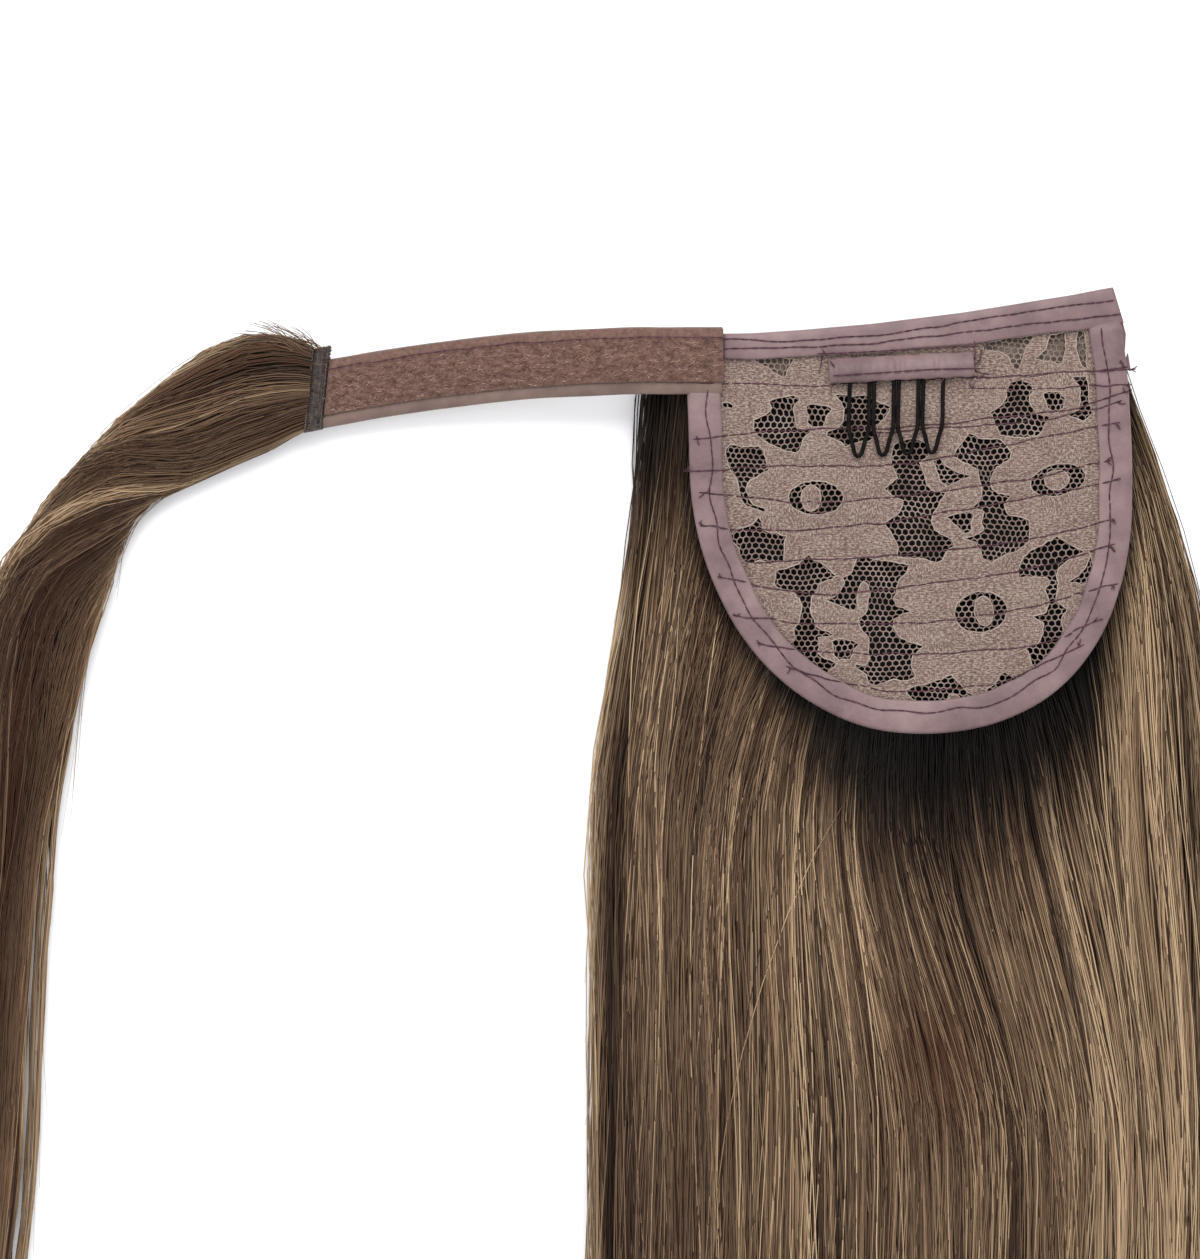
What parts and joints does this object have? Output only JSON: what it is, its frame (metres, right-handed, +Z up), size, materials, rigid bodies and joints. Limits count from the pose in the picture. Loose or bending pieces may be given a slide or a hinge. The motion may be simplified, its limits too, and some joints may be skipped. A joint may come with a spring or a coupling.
{
  "type": "ponytail hairpiece",
  "caption": "Wrap-around ponytail hairpiece lying lace side up: U-shaped lace pad with satin binding, wire comb, loop tape strap, wrapping strand and long straight hair.",
  "frame": {"origin": "middle of the whole outline, on the surface that the hairpiece lies on", "axes": "+Y from the hair's tips towards the strap, +X along the strap towards the pad's free corner, +Z up, out of the lace side"},
  "size_m": [0.3108, 0.412, 0.0164],
  "materials": {
    "lace_cloth": "knitted beige-pink lace with flower motifs and hexagonal net",
    "mauve_satin": "folded mauve satin tape with a soft sheen",
    "loop_pile": "brown brushed loop pile",
    "brown_hair": "straight glossy brown hair with lighter and darker strands",
    "weft_thread": "ridged weft stitching over the ends of the hair",
    "comb_wire": "black lacquered spring wire"
  },
  "bodies": {
    "root": {"lace_pad": "lace_cloth", "edge_binding": "mauve_satin", "strap_band": "mauve_satin", "loop_tape": "loop_pile", "wire_comb": "comb_wire", "comb_patch": "mauve_satin", "ponytail_hair": "brown_hair", "wrap_weft": "weft_thread", "wrap_strand": "brown_hair"}
  },
  "joints": []
}
